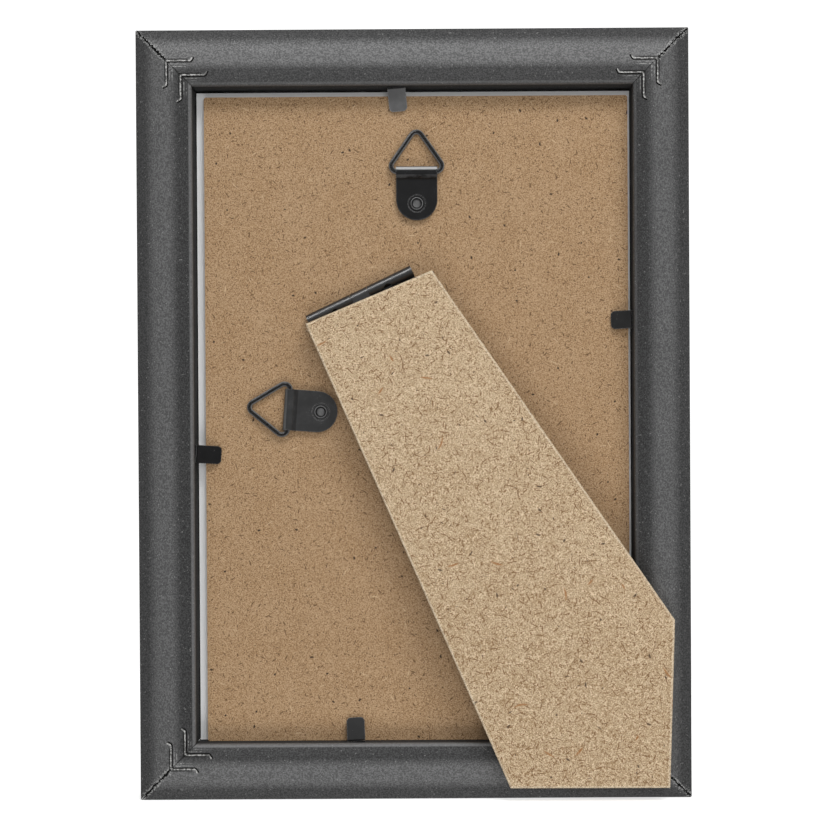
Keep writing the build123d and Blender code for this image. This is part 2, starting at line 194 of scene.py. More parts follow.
class RailSettings(bpy.types.PropertyGroup):
    """Foil of the rails and steel of the corner nails."""

    dark: colour("Foil", "Charcoal of the foil between its grains", (0.026, 0.026, 0.0262))
    light: colour("Foil Grain", "Lighter grains of the foil", (0.062, 0.062, 0.0624))
    # Painted sheen: the crest colours are lighter foil that stands in for the sheen along a rail's crest
    crest_sheen_dark: colour("Crest", "Foil between its grains along the crest", (0.115, 0.115, 0.1155))
    crest_sheen_light: colour("Crest Grain", "Grains of the foil along the crest", (0.248, 0.248, 0.249))
    worn: colour("Worn Foil", "Foil where it is scraped or chipped", (0.46, 0.46, 0.45))
    steel: colour("Nail Steel", "Bare steel of the corner nails", (0.58, 0.575, 0.56))
    grain: length("Grain", "Width of one grain of the foil", 0.27)
    roughness: share("Roughness", "Roughness of the foil", 0.5)


class SheetSettings(bpy.types.PropertyGroup):
    """Hardboard back, paper insert and clear front sheet."""

    board: colour("Hardboard", "Middle tone of the back", (0.372, 0.230, 0.117))
    board_dark: colour("Hardboard Flecks", "Dark flecks and fibres of the back", (0.115, 0.060, 0.028))
    board_light: colour("Hardboard Fibres", "Light fibres of the back", (0.52, 0.36, 0.215))
    board_straw: colour("Straws", "Pale straws of the back", (0.66, 0.50, 0.32))
    paper: colour("Paper", "Paper insert", (0.95, 0.955, 0.955))
    clear: colour("Clear Sheet", "Tint of the clear front sheet", (0.95, 0.97, 0.97))


class MetalSettings(bpy.types.PropertyGroup):
    """Blackened tabs, hangers and hinge."""

    tab: colour("Tab", "Black of the tabs", (0.010, 0.010, 0.0104))
    # Painted sheen: the bottom and right tabs are lighter copies of the same black
    tab_sheen: colour("Dull Tab", "Greyer black of rubbed tabs", (0.016, 0.016, 0.0163))
    # Painted reflection: the top tab's grey stands in for the light it reflects
    tab_reflection: colour("Worn Tab", "Grey of the tab that is bent most", (0.10, 0.10, 0.101))
    hanger: colour("Hanger", "Satin black of the hangers", (0.006, 0.006, 0.0064))
    # Painted sheen: the side hanger is a lighter copy of the same black
    side_hanger_sheen: colour("Faded Hanger", "Greyer black of the side hanger", (0.028, 0.028, 0.0283))
    hinge: colour("Hinge", "Gloss black of the hinge", (0.009, 0.009, 0.0094))
    pin: colour("Hinge Pin", "Dull steel of the hinge pin", (0.02, 0.02, 0.02))
    # Also the grey of the painted highlights and reflections on the hangers and the wire
    bare: colour("Bare Edge", "Metal that shows at cut and rubbed edges", (0.34, 0.34, 0.34))
    edge: length("Edge Wear", "Width of the rubbed edges", 0.35)


class LegSettings(bpy.types.PropertyGroup):
    """Fibreboard leg."""

    pale: colour("Fibreboard", "Middle tone of the leg", (0.545, 0.398, 0.245))
    # Painted shade: the darker, warmer tone towards the foot
    foot: colour("Foot", "Middle tone of the leg at its foot", (0.44, 0.305, 0.172))
    light: colour("Light Fibres", "Light fibres of the leg", (0.79, 0.64, 0.445))
    cut: colour("Cut Edge", "Torn pale line along the cut edges", (0.93, 0.82, 0.64))
    brown: colour("Brown Fibres", "Brown fibres of the leg", (0.205, 0.1, 0.037))
    rust: colour("Bark", "Orange strips of bark in the leg", (0.36, 0.15, 0.045))
    chip: colour("Chips", "Dark chips of bark in the leg", (0.085, 0.048, 0.03))
    fibres: number("Fibres", "Fibres that lie proud of the leg", 300)
    fuzz: number("Fuzz", "Fibres that stand out of the cut edges", 260)
    fibre_length: length("Fibre Length", "Length of a middling fibre", 2.4)
    fibre_width: length("Fibre Width", "Width of a middling fibre", 0.18)


class StageSettings(bpy.types.PropertyGroup):
    """Floor, lights and camera."""

    place: point("Camera", "Place of the camera", (-0.0086, 0.5062, 0.0806))
    aim: point("Aim", "Point the camera looks at", (-0.0076, 0.0062, 0.0758))
    roll: FloatProperty(
        name="Roll",
        description="Turn of the camera about its view",
        default=math.radians(-0.327),
        subtype="ANGLE",
    )
    lens: FloatProperty(
        name="Lens", description="Focal length of the camera", default=93.79, min=1, unit="CAMERA"
    )
    shift: FloatVectorProperty(
        name="Shift", description="Shift of the picture", default=(-0.04, 0.07), size=2
    )
    facing: level("Facing Panel", "Power of the panel behind the camera", 1.36, "POWER")
    overhead: level("Overhead", "Power of the softbox overhead", 3.05, "POWER")
    strip: level("Strip", "Power of the strip light above the frame", 2.5, "POWER")
    below: level("Bounce", "Power of the light that the table throws back", 0.93, "POWER")
    front: level("Room", "Brightness of the room round the camera", 0.31)
    behind: level("Behind", "Brightness of the room behind the frame", 0.8)
    backdrop: level("Backdrop", "Brightness of the backdrop in the picture", 1.15)
    floor: colour("Floor", "Pale floor", (0.92, 0.92, 0.92))


class PhotoFrameSettings(bpy.types.PropertyGroup):
    """Everything that can be changed."""

    rails: PointerProperty(type=RailSettings)
    sheets: PointerProperty(type=SheetSettings)
    metal: PointerProperty(type=MetalSettings)
    leg: PointerProperty(type=LegSettings)
    stage: PointerProperty(type=StageSettings)


class Value:
    """A shader socket. Arithmetic on values adds Math nodes to their material."""

    def __init__(self, finish, socket):
        self.finish = finish
        self.socket = socket

    def out(self, name):
        """Another output of the same node."""
        return Value(self.finish, self.socket.node.outputs[name])

    def math(self, operation, *others):
        """A Math node on this value and others."""
        sockets = dict(enumerate((self, *others)))
        return self.finish.node("ShaderNodeMath", {"operation": operation}, sockets)

    def __add__(self, other):
        return self.math("ADD", other)

    def __sub__(self, other):
        return self.math("SUBTRACT", other)

    def __rsub__(self, other):
        return self.finish.node("ShaderNodeMath", {"operation": "SUBTRACT"}, {0: other, 1: self})

    def __mul__(self, other):
        return self.math("MULTIPLY", other)

    def __truediv__(self, other):
        return self.math("DIVIDE", other)

    def __rtruediv__(self, other):
        return self.finish.node("ShaderNodeMath", {"operation": "DIVIDE"}, {0: other, 1: self})

    __radd__ = __add__
    __rmul__ = __mul__

    def __abs__(self):
        return self.math("ABSOLUTE")

    def ramp(self, start, end):
        """Smooth rise from 0 at start to 1 at end, or fall where start is the larger."""
        sockets = {"Value": self, "From Min": start, "From Max": end}
        return self.finish.node("ShaderNodeMapRange", {"interpolation_type": "SMOOTHSTEP"}, sockets)

    def below(self, limit):
        """1 where the value is under the limit, else 0."""
        return self.math("LESS_THAN", limit)


class Finish:
    """A procedural material, its patterns laid out in millimetres of the piece's own coordinates."""

    def __init__(self, name, constants=()):
        self.material = bpy.data.materials.new(name)
        self.material.use_nodes = True
        self.tree = self.material.node_tree
        self.shader = self.tree.nodes["Principled BSDF"]
        for key, value in dict(constants).items():
            self.shader.inputs[key].default_value = value
        metres = self.node("ShaderNodeTexCoord", output="Object")
        sockets = {"Vector": metres, "Scale": 1 / MM}
        self.place = self.node("ShaderNodeVectorMath", {"operation": "SCALE"}, sockets)
        self.facing = metres.out("Normal")

    def node(self, kind, settings=(), sockets=(), output=0):
        """Add a node: its settings first, then the values or links of its sockets. Gives one output."""
        made = self.tree.nodes.new(kind)
        for key, value in dict(settings).items():
            setattr(made, key, value)
        for key, value in dict(sockets).items():
            if isinstance(value, Value):
                self.tree.links.new(value.socket, made.inputs[key])
            else:
                made.inputs[key].default_value = value
        return Value(self, made.outputs[output])

    def feed(self, sockets):
        """Link values to the shader's own sockets."""
        for key, value in sockets.items():
            self.tree.links.new(value.socket, self.shader.inputs[key])
        return self.material

    def axes(self, vector):
        """The three numbers of a vector."""
        first = self.node("ShaderNodeSeparateXYZ", sockets={"Vector": vector})
        return first, first.out("Y"), first.out("Z")

    def vectors(self, operation, first, second, output=0):
        """A Vector Math node on two vectors."""
        sockets = {0: first, 1: second}
        return self.node("ShaderNodeVectorMath", {"operation": operation}, sockets, output)

    def moved(self, vector, offset):
        """A vector plus an offset."""
        return self.vectors("ADD", vector, offset)

    def flat(self):
        """Places on the back, with depth folded in so that patterns go round the edges."""
        x, y, z = self.axes(self.place)
        along, down = DEPTH_SHIFT
        return self.node("ShaderNodeCombineXYZ", sockets={"X": x + y * along, "Y": z - y * down})

    def blend(self, amount, first, second):
        """Colour between two others."""
        first = first if isinstance(first, Value) else (*first, 1)
        second = second if isinstance(second, Value) else (*second, 1)
        return self.node("ShaderNodeMix", {"data_type": "RGBA"}, {0: amount, 6: first, 7: second}, 2)

    def noise(self, size, detail=2.0, stretch=(1, 1, 1), seed=0.0):
        """Cloudy noise around one half, its features about as wide as size, stretched along the axes."""
        scale = tuple(1 / part for part in stretch)
        sockets = {"Vector": self.place, "Location": (seed, seed, seed), "Scale": scale}
        place = self.node("ShaderNodeMapping", sockets=sockets)
        sockets = {"Vector": place, "Scale": 1 / size, "Detail": detail}
        return self.node("ShaderNodeTexNoise", sockets=sockets)

    def strokes(self, flat, *, cell, long, wide, present, seed):
        """Short bent strokes, one to a cell, turned, bent and sized by the cell's own random colour.

        Half a stroke is at most long by wide, and only the share present of the cells has one.
        """
        place = self.moved(flat, (seed * 17.3, seed * 9.7, 0))
        sockets = {"Vector": place, "Scale": 1 / cell}
        chance = self.node("ShaderNodeTexVoronoi", {"voronoi_dimensions": "2D"}, sockets, "Color")
        red = self.node("ShaderNodeSeparateColor", sockets={"Color": chance})
        green = red.out("Green")
        away = self.vectors("SUBTRACT", place, chance.out("Position"))
        sockets = {"Vector": away, "Angle": red * math.tau}
        turned = self.node("ShaderNodeVectorRotate", {"rotation_type": "Z_AXIS"}, sockets)
        along, across, _ = self.axes(turned)
        across = across + (green - 0.5) * along * along * (0.6 / long)
        reach = abs(along) / (green * (0.6 * long) + 0.4 * long)
        body = (abs(across) + reach * reach * (wide * 1.2)).ramp(wide, wide * 0.3)
        return body * red.out("Blue").below(present)

    def mat(self, flat, *, long, wide, seed):
        """Amounts of dark and of light fibres, from noises drawn out along several angles."""
        dark, light = 0.0, 0.0
        for turn in range(MAT_TURNS):
            sockets = {
                "Vector": flat,
                "Location": (seed + 7 * turn, seed, 0),
                "Rotation": (0, 0, seed + turn * math.pi / MAT_TURNS),
                "Scale": (long, wide, 1),
            }
            place = self.node("ShaderNodeMapping", {"vector_type": "TEXTURE"}, sockets)
            sockets = {"Vector": place, "Scale": 1.0, "Detail": 1.0, "Distortion": 0.5}
            drawn = self.node("ShaderNodeTexNoise", {"noise_dimensions": "2D"}, sockets)
            dark = drawn.ramp(0.60, 0.70).math("MAXIMUM", dark)
            light = drawn.ramp(0.40, 0.30).math("MAXIMUM", light)
        return dark, light

    def edges(self, wide):
        """1 on sharp edges and 0 on flats: how far a rounded-off normal turns from the surface's own."""
        round_off = self.node("ShaderNodeBevel", {"samples": 6}, {"Radius": wide})
        own = self.node("ShaderNodeNewGeometry", output="Normal")
        agree = self.vectors("DOT_PRODUCT", round_off, own, "Value")
        return agree.ramp(0.99, 0.88)

    def bump(self, height, depth, strength=1.0):
        """Normal of a surface raised by height times depth in metres."""
        sockets = {"Strength": strength, "Distance": depth, "Height": height}
        return self.node("ShaderNodeBump", sockets=sockets)


def wear(name, material):
    """Give a CAD node's own object a finish."""
    slots = NODES[name].data.materials
    slots.clear()
    slots.append(material)


def new_piece(name, points, faces, body, material, tones):
    """Make a mesh piece from whole arrays of points and faces, with one tone to each point."""
    mesh = bpy.data.meshes.new(name)
    mesh.from_pydata(points.tolist(), [], faces.tolist())
    mesh.attributes.new("tone", "FLOAT", "POINT").data.foreach_set("value", tones.astype(np.float32))
    mesh.shade_smooth()
    mesh.materials.append(material)
    piece = bpy.data.objects.new(name, mesh)
    bpy.context.scene.collection.objects.link(piece)
    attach(piece, body)


def ribbons(centres, headings, normal, lengths, widths, bends, crowns, rises):
    """Bent slivers that lie on a plane.

    At s from -1 to 1 along and t from -1 to 1 across a sliver, the point is
    centre + s * length / 2 * heading + (bend * s^2 + t * width / 2 * (1 - s^2)^(1/2)) * side
    + (crown * (1 - t^2) * (1 - s^2) - sink + rise * (s + 1) / 2) * normal,
    with side square to the heading in the plane, and sink a hair that roots it in the surface.
    """
    steps, rows = 7, 3
    s = np.linspace(-1, 1, steps)[None, :, None, None]
    t = np.linspace(-1, 1, rows)[None, None, :, None]
    sides = np.cross(normal, headings)

    def each(values):
        return np.asarray(values)[:, None, None, None]

    taper = np.sqrt(np.clip(1 - s**2, 0.02, 1))
    across = each(bends) * s**2 + t * each(widths) / 2 * taper
    lift = each(crowns) * (1 - t**2) * (1 - s**2) - FIBRE_SINK + each(rises) * (s + 1) / 2
    grid = (
        centres[:, None, None, :]
        + s * each(lengths) / 2 * headings[:, None, None, :]
        + across * sides[:, None, None, :]
        + lift * np.asarray(normal)
    )
    count = len(centres)
    corner = np.arange(steps - 1)[:, None] * rows + np.arange(rows - 1)[None, :]
    quad = np.stack([corner, corner + rows, corner + rows + 1, corner + 1], axis=-1).reshape(-1, 4)
    faces = (np.arange(count)[:, None, None] * steps * rows + quad).reshape(-1, 4)
    return grid.reshape(-1, 3), faces, steps * rows


def turned_headings(angles, first, second):
    """Directions in a plane, at angles from its first axis towards its second."""
    return np.cos(angles)[:, None] * first + np.sin(angles)[:, None] * second


def back_face(name):
    """The plane of a flat node's back: its middle, normal and two axes, and its outline in those axes."""
    mesh = NODES[name].data
    count = len(mesh.polygons)
    normals = np.empty(count * 3)
    areas = np.empty(count)
    centres = np.empty(count * 3)
    mesh.polygons.foreach_get("normal", normals)
    mesh.polygons.foreach_get("area", areas)
    mesh.polygons.foreach_get("center", centres)
    normals = normals.reshape(-1, 3)
    centres = centres.reshape(-1, 3)
    facing = normals[:, 1] > 0.9
    weights = areas[facing][:, None]
    normal = (normals[facing] * weights).sum(0)
    normal /= np.linalg.norm(normal)
    middle = (centres[facing] * weights).sum(0) / weights.sum()
    right = np.cross((0.0, 0.0, 1.0), normal)
    right /= np.linalg.norm(right)
    up = np.cross(normal, right)
    corners = np.empty(len(mesh.vertices) * 3)
    mesh.vertices.foreach_get("co", corners)
    corners = corners.reshape(-1, 3) - middle
    on_face = np.abs(corners @ normal) < 0.02 * MM
    flat = np.stack([corners[on_face] @ right, corners[on_face] @ up], axis=-1)
    hull = flat[geometry.convex_hull_2d(flat.tolist())]
    apart = np.linalg.norm(np.roll(hull, -1, axis=0) - hull, axis=1) > 0.001 * MM
    return middle, normal, right, up, hull[apart]


def inside(places, outline, margin):
    """Which places lie inside a convex outline by a margin, by their distance to each of its sides."""
    following = np.roll(outline, -1, axis=0)
    sides = following - outline
    sides /= np.linalg.norm(sides, axis=1)[:, None]
    inwards = np.stack([-sides[:, 1], sides[:, 0]], axis=-1)
    inwards *= np.sign(((outline.mean(0) - outline) * inwards).sum(1))[:, None]
    distance = ((places[:, None, :] - outline[None]) * inwards[None]).sum(2)
    return distance.min(1) > margin


def foil(settings, name, lengthways, *, rub_and_sheen, flank_lights, wall_shade, lip_wear_and_highlight):
    """Charcoal foil, painted lighter along the crest as sheen, chipped at the mitres and scored by the
    nails.

    The flanks get painted light by their own shares, the outer one first, and the lip of the rabbet gets
    wear and a painted highlight by its own. The wall of the rabbet gets painted shade by another share.
    """
    finish = Finish(name, {"Specular IOR Level": 0.25})
    grain = settings.grain / MM
    x, y, z = finish.axes(finish.place)
    from_side = HALF_WIDTH - abs(x)
    from_end = HALF_HEIGHT - abs(z - HALF_HEIGHT)
    near = from_side.math("MINIMUM", from_end)
    far = from_side.math("MAXIMUM", from_end)
    off_mitre = (far - near) * math.sqrt(0.5)
    fine = finish.noise(grain, 1.0, lengthways)
    cloud = finish.noise(14.0, 2.0, seed=4.0)
    specks = finish.noise(0.42, 1.0, seed=9.0).ramp(0.67, 0.76)
    ragged = finish.noise(0.5, 3.0, seed=2.0)
    tone = fine.ramp(0.36, 0.66) * 0.8 + cloud * 0.14
    torn = finish.noise(0.34, 2.0, seed=7.0)
    back = y.ramp(*BACK_DEPTH)
    beside = (off_mitre - (torn - 0.5) * 3.0).ramp(0.52, 0.36)
    chips = beside * near.ramp(*CHIPS_END) * torn.ramp(0.47, 0.51) * back
    gap = (off_mitre + (ragged - 0.5) * 1.6).ramp(0.26, 0.16) * near.ramp(*GAP_END) * back
    seam = off_mitre.ramp(0.16, 0.06) * near.ramp(*SEAM_START).math("MAXIMUM", 1 - back) * 0.4
    scores = 0.0
    for inset in NAIL_INSETS:
        run = far.ramp(inset + 5.2, inset + 4.6) * back
        groove = abs(near - (inset - 0.32) + (ragged - 0.5) * 0.1).ramp(0.2, 0.1)
        seam = (groove * run).math("MAXIMUM", seam)
        for step, strength in NAIL_SCORES:
            line = abs(near - (inset + step) + (ragged - 0.5) * 0.3).ramp(0.16, 0.03)
            broken = line * far.ramp(inset + 5.4, inset + 3.4) * ragged.ramp(0.42, 0.56)
            scores = broken * back * strength + scores
    worn = (chips * 0.65 + scores * near.ramp(*SCORES_END)).math("MINIMUM", 1.0)
    wall = y.ramp(*WALL_DEPTH) * near.ramp(*WALL_RISE)
    outer, inner = flank_lights
    # Painted sheen: the crest is painted lighter, by a share that is largest on the top rail
    crest = near.ramp(*CREST_RISE) * near.ramp(*CREST_FALL) * y.ramp(*CREST_DEPTH)
    # Painted light: the flanks are painted lighter in place of the light that reaches them from above and
    # below
    flank_light = near.ramp(*OUTER_FLANK) * outer + near.ramp(*INNER_FLANK) * inner
    crest = crest.math("MAXIMUM", flank_light)
    # Worn lip with a painted highlight: the rounded inner edge is painted lighter where it would catch
    # the light, least under shade and on the right rail
    lip = near.ramp(*LIP_RISE) * near.ramp(*LIP_FALL) * y.ramp(*LIP_DEPTH) * (1 - wall_shade)
    base = finish.blend(
        crest * rub_and_sheen,
        finish.blend(tone, settings.dark, settings.light),
        finish.blend(tone, settings.crest_sheen_dark, settings.crest_sheen_light),
    )
    base = finish.blend(lip * (ragged * 0.5 + 0.2) * lip_wear_and_highlight, base, settings.crest_sheen_light)
    base = finish.blend((specks * 0.3 + worn * 0.8).math("MINIMUM", 1.0), base, settings.worn)
    base = finish.blend(gap.math("MAXIMUM", seam * 0.75), base, GAP_BLACK)
    # Painted shade: the wall of the rabbet is painted near black, most on the top rail where it faces
    # down
    base = finish.blend(wall * wall_shade, base, WALL_SHADE_BLACK)
    rough = fine.ramp(0.66, 0.36) * 0.26 + (settings.roughness - 0.12) + gap * 0.4 + wall
    height = fine + specks * 0.5 + worn * 0.8 - gap * 3.0
    normal = finish.bump(height, 0.025 * MM, 1.0)
    return finish.feed({"Base Color": base, "Roughness": rough, "Normal": normal})


def bare_steel(name, tint):
    """Drawn steel with fine lines and dull spots."""
    finish = Finish(name, {"Metallic": 0.35})
    lines = finish.noise(0.12, 3.0, (1, 1, 9))
    spots = finish.noise(0.55, 3.0, seed=5.0)
    dull = tuple(part * 0.25 for part in tint)
    base = finish.blend(spots.ramp(0.40, 0.58), tuple(tint), dull)
    rough = lines * 0.3 + 0.25
    normal = finish.bump(lines, 0.01 * MM, 0.5)
    return finish.feed({"Base Color": base, "Roughness": rough, "Normal": normal})


def black_metal(name, paint, settings, *, rough, gloss, rub):
    """Black paint on sheet metal: fine pits, a few pale flecks of dust and edges worn bare."""
    finish = Finish(name, {"Specular IOR Level": gloss})
    pits = finish.noise(0.22, 3.0)
    cloud = finish.noise(2.6, 3.0, seed=3.0)
    flecks = finish.noise(0.45, 2.0, seed=8.0).ramp(0.68, 0.78)
    rub_and_sheen = finish.edges(settings.edge) * pits.ramp(0.40, 0.60)
    base = finish.blend(cloud.ramp(0.3, 0.8) * 0.6, paint, tuple(part * 1.6 for part in paint))
    base = finish.blend(flecks * 0.25, base, DUST_GREY)
    base = finish.blend(rub_and_sheen * rub, base, settings.bare)
    roughness = pits * 0.14 + cloud * 0.12 + flecks * 0.2 + (rough - 0.13)
    normal = finish.bump(pits, 0.01 * MM, 0.5)
    return finish.feed({"Base Color": base, "Roughness": roughness, "Normal": normal})


def strap_metal(name, paint, settings, fold_highlight):
    """Satin black strap, worn along its edges, painted bare grey along its fold and its step as a
    highlight, and with a worn ring round its rivet that is painted as a highlight.

    The fold is the end of the strap that the ring hangs in.
    """
    finish = Finish(f"{name}_black", {"Specular IOR Level": 0.45})
    corners = np.empty(len(NODES[f"{name}_strap"].data.vertices) * 3)
    NODES[f"{name}_strap"].data.vertices.foreach_get("co", corners)
    corners = corners.reshape(-1, 3) / MM
    hook, root = (np.array(NODES[f"{name}_{part}"].bound_box).mean(0) for part in ("ring", "rivet"))
    heading = (hook - root) * (1, 0, 1)
    heading /= np.linalg.norm(heading)
    along = finish.vectors("DOT_PRODUCT", finish.place, tuple(heading), "Value")
    from_fold = float((corners @ heading).max()) - along
    pits = finish.noise(0.22, 3.0)
    cloud = finish.noise(2.6, 3.0, seed=3.0)
    # Painted highlight: a bare grey band along the fold and a fainter one on the step below it
    fold = from_fold.ramp(*FOLD_RISE) * from_fold.ramp(*FOLD_FALL) * (pits * 0.5 + 0.65)
    step = from_fold.ramp(*STEP_RISE) * from_fold.ramp(*STEP_FALL) * cloud.ramp(0.35, 0.6)
    x, _, z = finish.axes(finish.moved(finish.place, tuple(-root / MM)))
    off = (x * x + z * z).math("SQRT")
    # Worn and painted highlight: a ring of bare grey round the rivet on the strap
    collar_highlight = abs(off - COLLAR_HIGHLIGHT_RADIUS).ramp(0.2, 0.05) * pits.ramp(0.36, 0.6)
    rub_and_sheen = finish.edges(settings.edge) * pits.ramp(0.40, 0.60)
    base = finish.blend(cloud.ramp(0.3, 0.8) * 0.6, paint, tuple(part * 1.8 for part in paint))
    base = finish.blend(rub_and_sheen * 0.35 + collar_highlight * 0.25 + step * (fold_highlight * 0.18), base, settings.bare)
    base = finish.blend(fold * fold_highlight, base, FOLD_HIGHLIGHT)
    roughness = pits * 0.14 + cloud * 0.12 + 0.11
    normal = finish.bump(pits, 0.01 * MM, 0.5)
    return finish.feed({"Base Color": base, "Roughness": roughness, "Normal": normal})


def wire_metal(name, settings):
    """Black wire, painted grey along its flanks as a reflection: where its own normal turns away from the
    back.
    """
    finish = Finish(name, {"Specular IOR Level": 0.5})
    _, back, _ = finish.axes(finish.facing)
    pits = finish.noise(0.22, 3.0)
    # Painted reflection: grey along the wire's flanks, set by the wire's own normal
    flank_light = abs(back).ramp(0.92, 0.72) * abs(back).ramp(0.2, 0.42) * (pits * 0.9 + 0.3)
    base = finish.blend(flank_light * 0.6, tuple(settings.hanger), settings.bare)
    return finish.feed({"Base Color": base, "Roughness": pits * 0.16 + 0.2})


def rivet_metal(name, settings):
    """Black paint on a rivet's rim, a ring of it worn and painted bare grey as a highlight, and grey
    metal in its hollow.
    """
    finish = Finish(name, {"Specular IOR Level": 0.3})
    corners = np.array(NODES[name].bound_box) / MM
    middle = corners.mean(0)
    x, _, z = finish.axes(finish.moved(finish.place, tuple(-middle)))
    off = (x * x + z * z).math("SQRT")
    pits = finish.noise(0.22, 3.0)
    core = off.ramp(*HOLLOW_EDGE)
    # Worn and painted highlight: a ring of bare grey on the rivet's rim
    rub_and_sheen = abs(off - RIM_HIGHLIGHT_RADIUS).ramp(0.14, 0.04)
    base = finish.blend(rub_and_sheen * (pits * 0.8 + 0.1), tuple(settings.hanger), settings.bare)
    base = finish.blend(core * (pits * 0.5 + 0.4), base, settings.bare)
    return finish.feed({"Base Color": base, "Roughness": pits * 0.2 + 0.25})


def hardboard(settings):
    """Smooth brown hardboard: dense dots and bent fibres, a few larger dark flecks and pale straws."""
    finish = Finish("back_hardboard", {"Specular IOR Level": 0.25})
    flat = finish.flat()
    cloud = finish.noise(8.0, 3.0)
    grit = finish.noise(0.26, 2.0, seed=6.0)
    brown, pale = finish.mat(flat, long=0.7, wide=0.2, seed=1.3)
    dots = finish.strokes(flat, cell=1.5, long=0.5, wide=0.2, present=0.34, seed=1.0)
    flecks = finish.strokes(flat, cell=3.2, long=1.1, wide=0.2, present=0.4, seed=2.0)
    bits = finish.strokes(flat, cell=8.0, long=0.7, wide=0.32, present=0.4, seed=5.0)
    straws = finish.strokes(flat, cell=6.0, long=1.6, wide=0.13, present=0.34, seed=7.0)
    light = cloud.ramp(0.25, 0.75) * 0.26 + grit.ramp(0.5, 0.66) * 0.95 + pale * 0.3
    base = finish.blend(light.math("MINIMUM", 1.0), settings.board, settings.board_light)
    dark = brown * 0.2 + dots * 0.75 + flecks * 0.8 + grit.ramp(0.48, 0.34) * 0.56
    base = finish.blend(dark.math("MINIMUM", 0.9), base, settings.board_dark)
    base = finish.blend(straws * 0.7, base, settings.board_straw)
    base = finish.blend(bits, base, BARK_BLACK)
    rough = 0.74 - dots * 0.1 + grit * 0.1
    height = grit * 0.5 + pale * 0.4 - dots * 0.5
    normal = finish.bump(height, 0.04 * MM, 0.6)
    return finish.feed({"Base Color": base, "Roughness": rough, "Normal": normal})


def fibreboard(settings):
    """Pale fibreboard with painted shade towards its foot: brown and light fibres, bark, dark chips, pale
    cut edges.
    """
    finish = Finish("leg_fibreboard", {"Specular IOR Level": 0.2})
    flat = finish.flat()
    cloud = finish.noise(6.0, 3.0)
    grit = finish.noise(0.27, 2.0, seed=6.0)
    brown, light = finish.mat(flat, long=1.5, wide=0.22, seed=0.4)
    dots = finish.strokes(flat, cell=0.7, long=0.32, wide=0.18, present=0.36, seed=1.0)
    hairs = finish.strokes(flat, cell=1.25, long=0.8, wide=0.15, present=0.44, seed=3.0)
    rods = finish.strokes(flat, cell=2.6, long=1.9, wide=0.18, present=0.5, seed=4.0)
    patch = finish.noise(3.0, 2.0, seed=12.0).ramp(0.38, 0.6) * 0.8 + 0.4
    threads = finish.strokes(flat, cell=1.2, long=1.3, wide=0.14, present=0.6, seed=11.0)
    flecks = finish.strokes(flat, cell=7.5, long=1.0, wide=0.34, present=0.34, seed=6.0)
    bark = finish.strokes(flat, cell=9.0, long=2.4, wide=0.34, present=0.3, seed=8.0)
    edge = finish.edges(CUT_EDGE) * (grit.ramp(0.36, 0.5) * 0.5 + 0.5)
    pale = cloud.ramp(0.25, 0.75) * 0.15 + grit.ramp(0.5, 0.64) * 0.75 + light * 0.3 + threads * 0.7
    _, _, height = finish.axes(finish.place)
    # Painted shade: the leg darkens towards its foot
    ground_and_foot_shade = finish.blend(height.ramp(*FOOT_SHADE_SPAN), settings.pale, settings.foot)
    base = finish.blend(pale.math("MINIMUM", 1.0), ground_and_foot_shade, settings.light)
    dark = brown * 0.25 + grit.ramp(0.48, 0.36) * 0.5 + (dots * 1.2 + hairs) * patch + rods * 0.85
    base = finish.blend(dark.math("MINIMUM", 0.9), base, settings.brown)
    base = finish.blend(bark * 0.8, base, settings.rust)
    base = finish.blend(flecks * 0.9, base, settings.chip)
    base = finish.blend(edge, base, settings.cut)
    rough = grit * 0.12 + 0.74
    relief = grit * 0.5 + light * 0.7 + hairs * 0.3 + rods * 0.5 - dots * 0.4
    normal = finish.bump(relief, 0.07 * MM, 0.8)
    return finish.feed({"Base Color": base, "Roughness": rough, "Normal": normal})


def loose_fibre(settings):
    """Fibres that lie proud of the leg, from chip black through brown to straw by their own tone."""
    finish = Finish("leg_loose_fibre", {"Specular IOR Level": 0.25})
    tone = finish.node("ShaderNodeAttribute", {"attribute_name": "tone"}, output="Fac")
    grain = finish.noise(0.25, 2.0)
    base = finish.blend(tone.ramp(0.0, 0.45), settings.chip, settings.brown)
    base = finish.blend(tone.ramp(0.35, 1.0), base, settings.light)
    base = finish.blend(grain.ramp(0.4, 0.8) * 0.35, base, settings.pale)
    return finish.feed({"Base Color": base, "Roughness": grain * 0.2 + 0.65})


def white_paper(settings):
    """Plain paper with a faint tooth."""
    finish = Finish("insert_paper", {"Specular IOR Level": 0.3})
    tooth = finish.noise(0.4, 3.0)
    cloud = finish.noise(12.0, 2.0, seed=3.0)
    base = finish.blend(tooth.ramp(0.3, 0.7) * 0.2 + cloud * 0.1, settings.paper, PAPER_SHADE)
    rough = tooth * 0.1 + 0.6
    normal = finish.bump(tooth, 0.01 * MM, 0.3)
    return finish.feed({"Base Color": base, "Roughness": rough, "Normal": normal})


def clear_plastic(settings):
    """Clear plastic with faint wiping marks; mostly see-through, with its own gloss."""
    finish = Finish("clear_sheet", {"Alpha": 0.12, "Specular IOR Level": 0.9})
    wipes = finish.noise(4.0, 4.0, (6, 1, 1))
    base = finish.blend(wipes * 0.2, settings.clear, WIPE_TINT)
    return finish.feed({"Base Color": base, "Roughness": wipes * 0.08 + 0.02})


